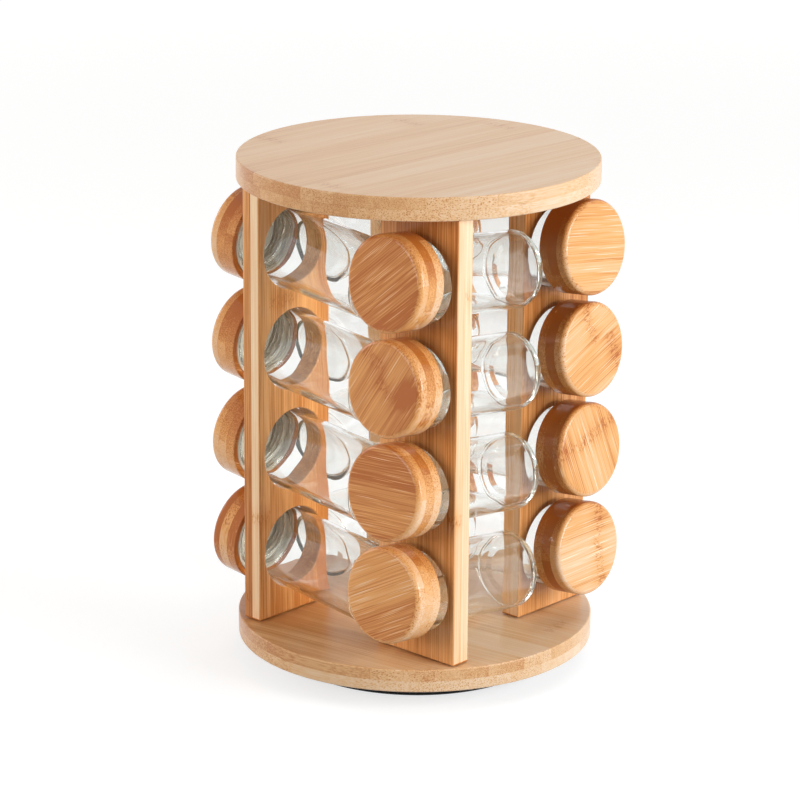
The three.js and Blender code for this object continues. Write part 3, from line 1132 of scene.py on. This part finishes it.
class SPICE_OT_stage(bpy.types.Operator):
    """Sets up the camera, the lamps, the room and the floor"""

    bl_idname = "spice.stage"
    bl_label = "Stage"

    def execute(self, context):
        look = context.scene.spice_stage
        build_camera(look)
        build_world(look)
        build_floor(look)
        lamp("key_lamp", 14, 14, 1.7, 0.9, look.key_power, (0.95, 1.0, 1.06))
        lamp("fill_lamp", -107, 16, 1.9, 1.0, look.fill_power, (1.0, 0.94, 0.87))
        lamp("side_lamp", 196, 18, 1.8, 0.6, look.side_power)
        lamp("top_lamp", 80, 62, 1.5, 1.2, look.top_power)
        context.scene.view_settings.view_transform = "Standard"
        clear_paths(context.scene.cycles)
        return {"FINISHED"}


class SPICE_OT_discs(bpy.types.Operator):
    """Makes the top disc and the base disc"""

    bl_idname = "spice.discs"
    bl_label = "Discs"

    def execute(self, context):
        look = context.scene.spice_discs
        wood = bamboo("bamboo_discs", look, knuckle_spread=520)
        build_disc("disc_top", "top_disc", look, look.top_grain, wood, False, *DISC_TONES["top"])
        build_disc("disc_base", "base_disc", look, look.base_grain, wood, True, *DISC_TONES["base"])
        return {"FINISHED"}


class SPICE_OT_uprights(bpy.types.Operator):
    """Makes the four boards with their jar holes and dowels"""

    bl_idname = "spice.uprights"
    bl_label = "Uprights"

    def execute(self, context):
        look = context.scene.spice_uprights
        wood = bamboo("bamboo_boards", look, knuckle_spread=500)
        for side, tones in BOARD_TONES.items():
            build_upright(side, look, wood, *tones)
        return {"FINISHED"}


class SPICE_OT_jars(bpy.types.Operator):
    """Makes the sixteen glass jars"""

    bl_idname = "spice.jars"
    bl_label = "Jars"

    def execute(self, context):
        look = context.scene.spice_glass
        glass = pressed_glass("jar_glass", look)
        for label in LABELS:
            build_jar(label, look, glass)
        return {"FINISHED"}


class SPICE_OT_lids(bpy.types.Operator):
    """Makes the sixteen turned lids"""

    bl_idname = "spice.lids"
    bl_label = "Lids"

    def execute(self, context):
        look = context.scene.spice_lids
        wood = bamboo("bamboo_lids", look, knuckle_spread=16)
        for label in LABELS:
            build_lid(label, look, wood)
        return {"FINISHED"}


class SPICE_OT_liners(bpy.types.Operator):
    """Makes the sixteen screw liners in the lids"""

    bl_idname = "spice.liners"
    bl_label = "Liners"

    def execute(self, context):
        # The liner colour carries painted shade for the inside of the lids.
        plastic = moulded("liner_plastic", context.scene.spice_turntable.liner, 0.42)
        for label in LABELS:
            build_liner(label, context.scene.spice_glass, plastic)
        return {"FINISHED"}


class SPICE_OT_turntable(bpy.types.Operator):
    """Makes the turntable's plates, ball ring, pin and foot ring"""

    bl_idname = "spice.turntable"
    bl_label = "Turntable"

    def execute(self, context):
        look = context.scene.spice_turntable
        plastic = moulded("black_plastic", look.plastic, 0.38, shine=0.12)
        rubber = moulded("black_rubber", look.rubber, 0.75, 1500.0, 0.00006, shine=0.3)
        steel = bright_steel("bright_steel", look.steel)
        build_lower_plate(look, plastic)
        build_upper_plate(look, plastic)
        build_ball_ring(look, steel)
        build_pivot_pin(look, steel)
        build_foot_ring(look, rubber)
        return {"FINISHED"}


class SPICE_PT_carousel(bpy.types.Panel):
    """Lists the steps that finish the spice carousel"""

    bl_label = "Spice Carousel"
    bl_space_type = "VIEW_3D"
    bl_region_type = "UI"
    bl_category = "Spice Carousel"

    def draw(self, context):
        for step in STEPS:
            self.layout.operator(step.bl_idname)


SETTINGS = {
    "spice_discs": DiscSettings,
    "spice_uprights": UprightSettings,
    "spice_lids": LidSettings,
    "spice_glass": GlassSettings,
    "spice_turntable": TurntableSettings,
    "spice_stage": StageSettings,
}
STEPS = (
    SPICE_OT_stage,
    SPICE_OT_discs,
    SPICE_OT_uprights,
    SPICE_OT_jars,
    SPICE_OT_lids,
    SPICE_OT_liners,
    SPICE_OT_turntable,
)


def register():
    for cls in (*SETTINGS.values(), *STEPS, SPICE_PT_carousel):
        bpy.utils.register_class(cls)
    for name, cls in SETTINGS.items():
        setattr(bpy.types.Scene, name, PointerProperty(type=cls))


def unregister():
    for name in SETTINGS:
        delattr(bpy.types.Scene, name)
    for cls in (SPICE_PT_carousel, *STEPS, *SETTINGS.values()):
        bpy.utils.unregister_class(cls)


def main():
    register()
    for step in STEPS:
        family, name = step.bl_idname.split(".")
        getattr(getattr(bpy.ops, family), name)()


if __name__ == "__main__":
    main()
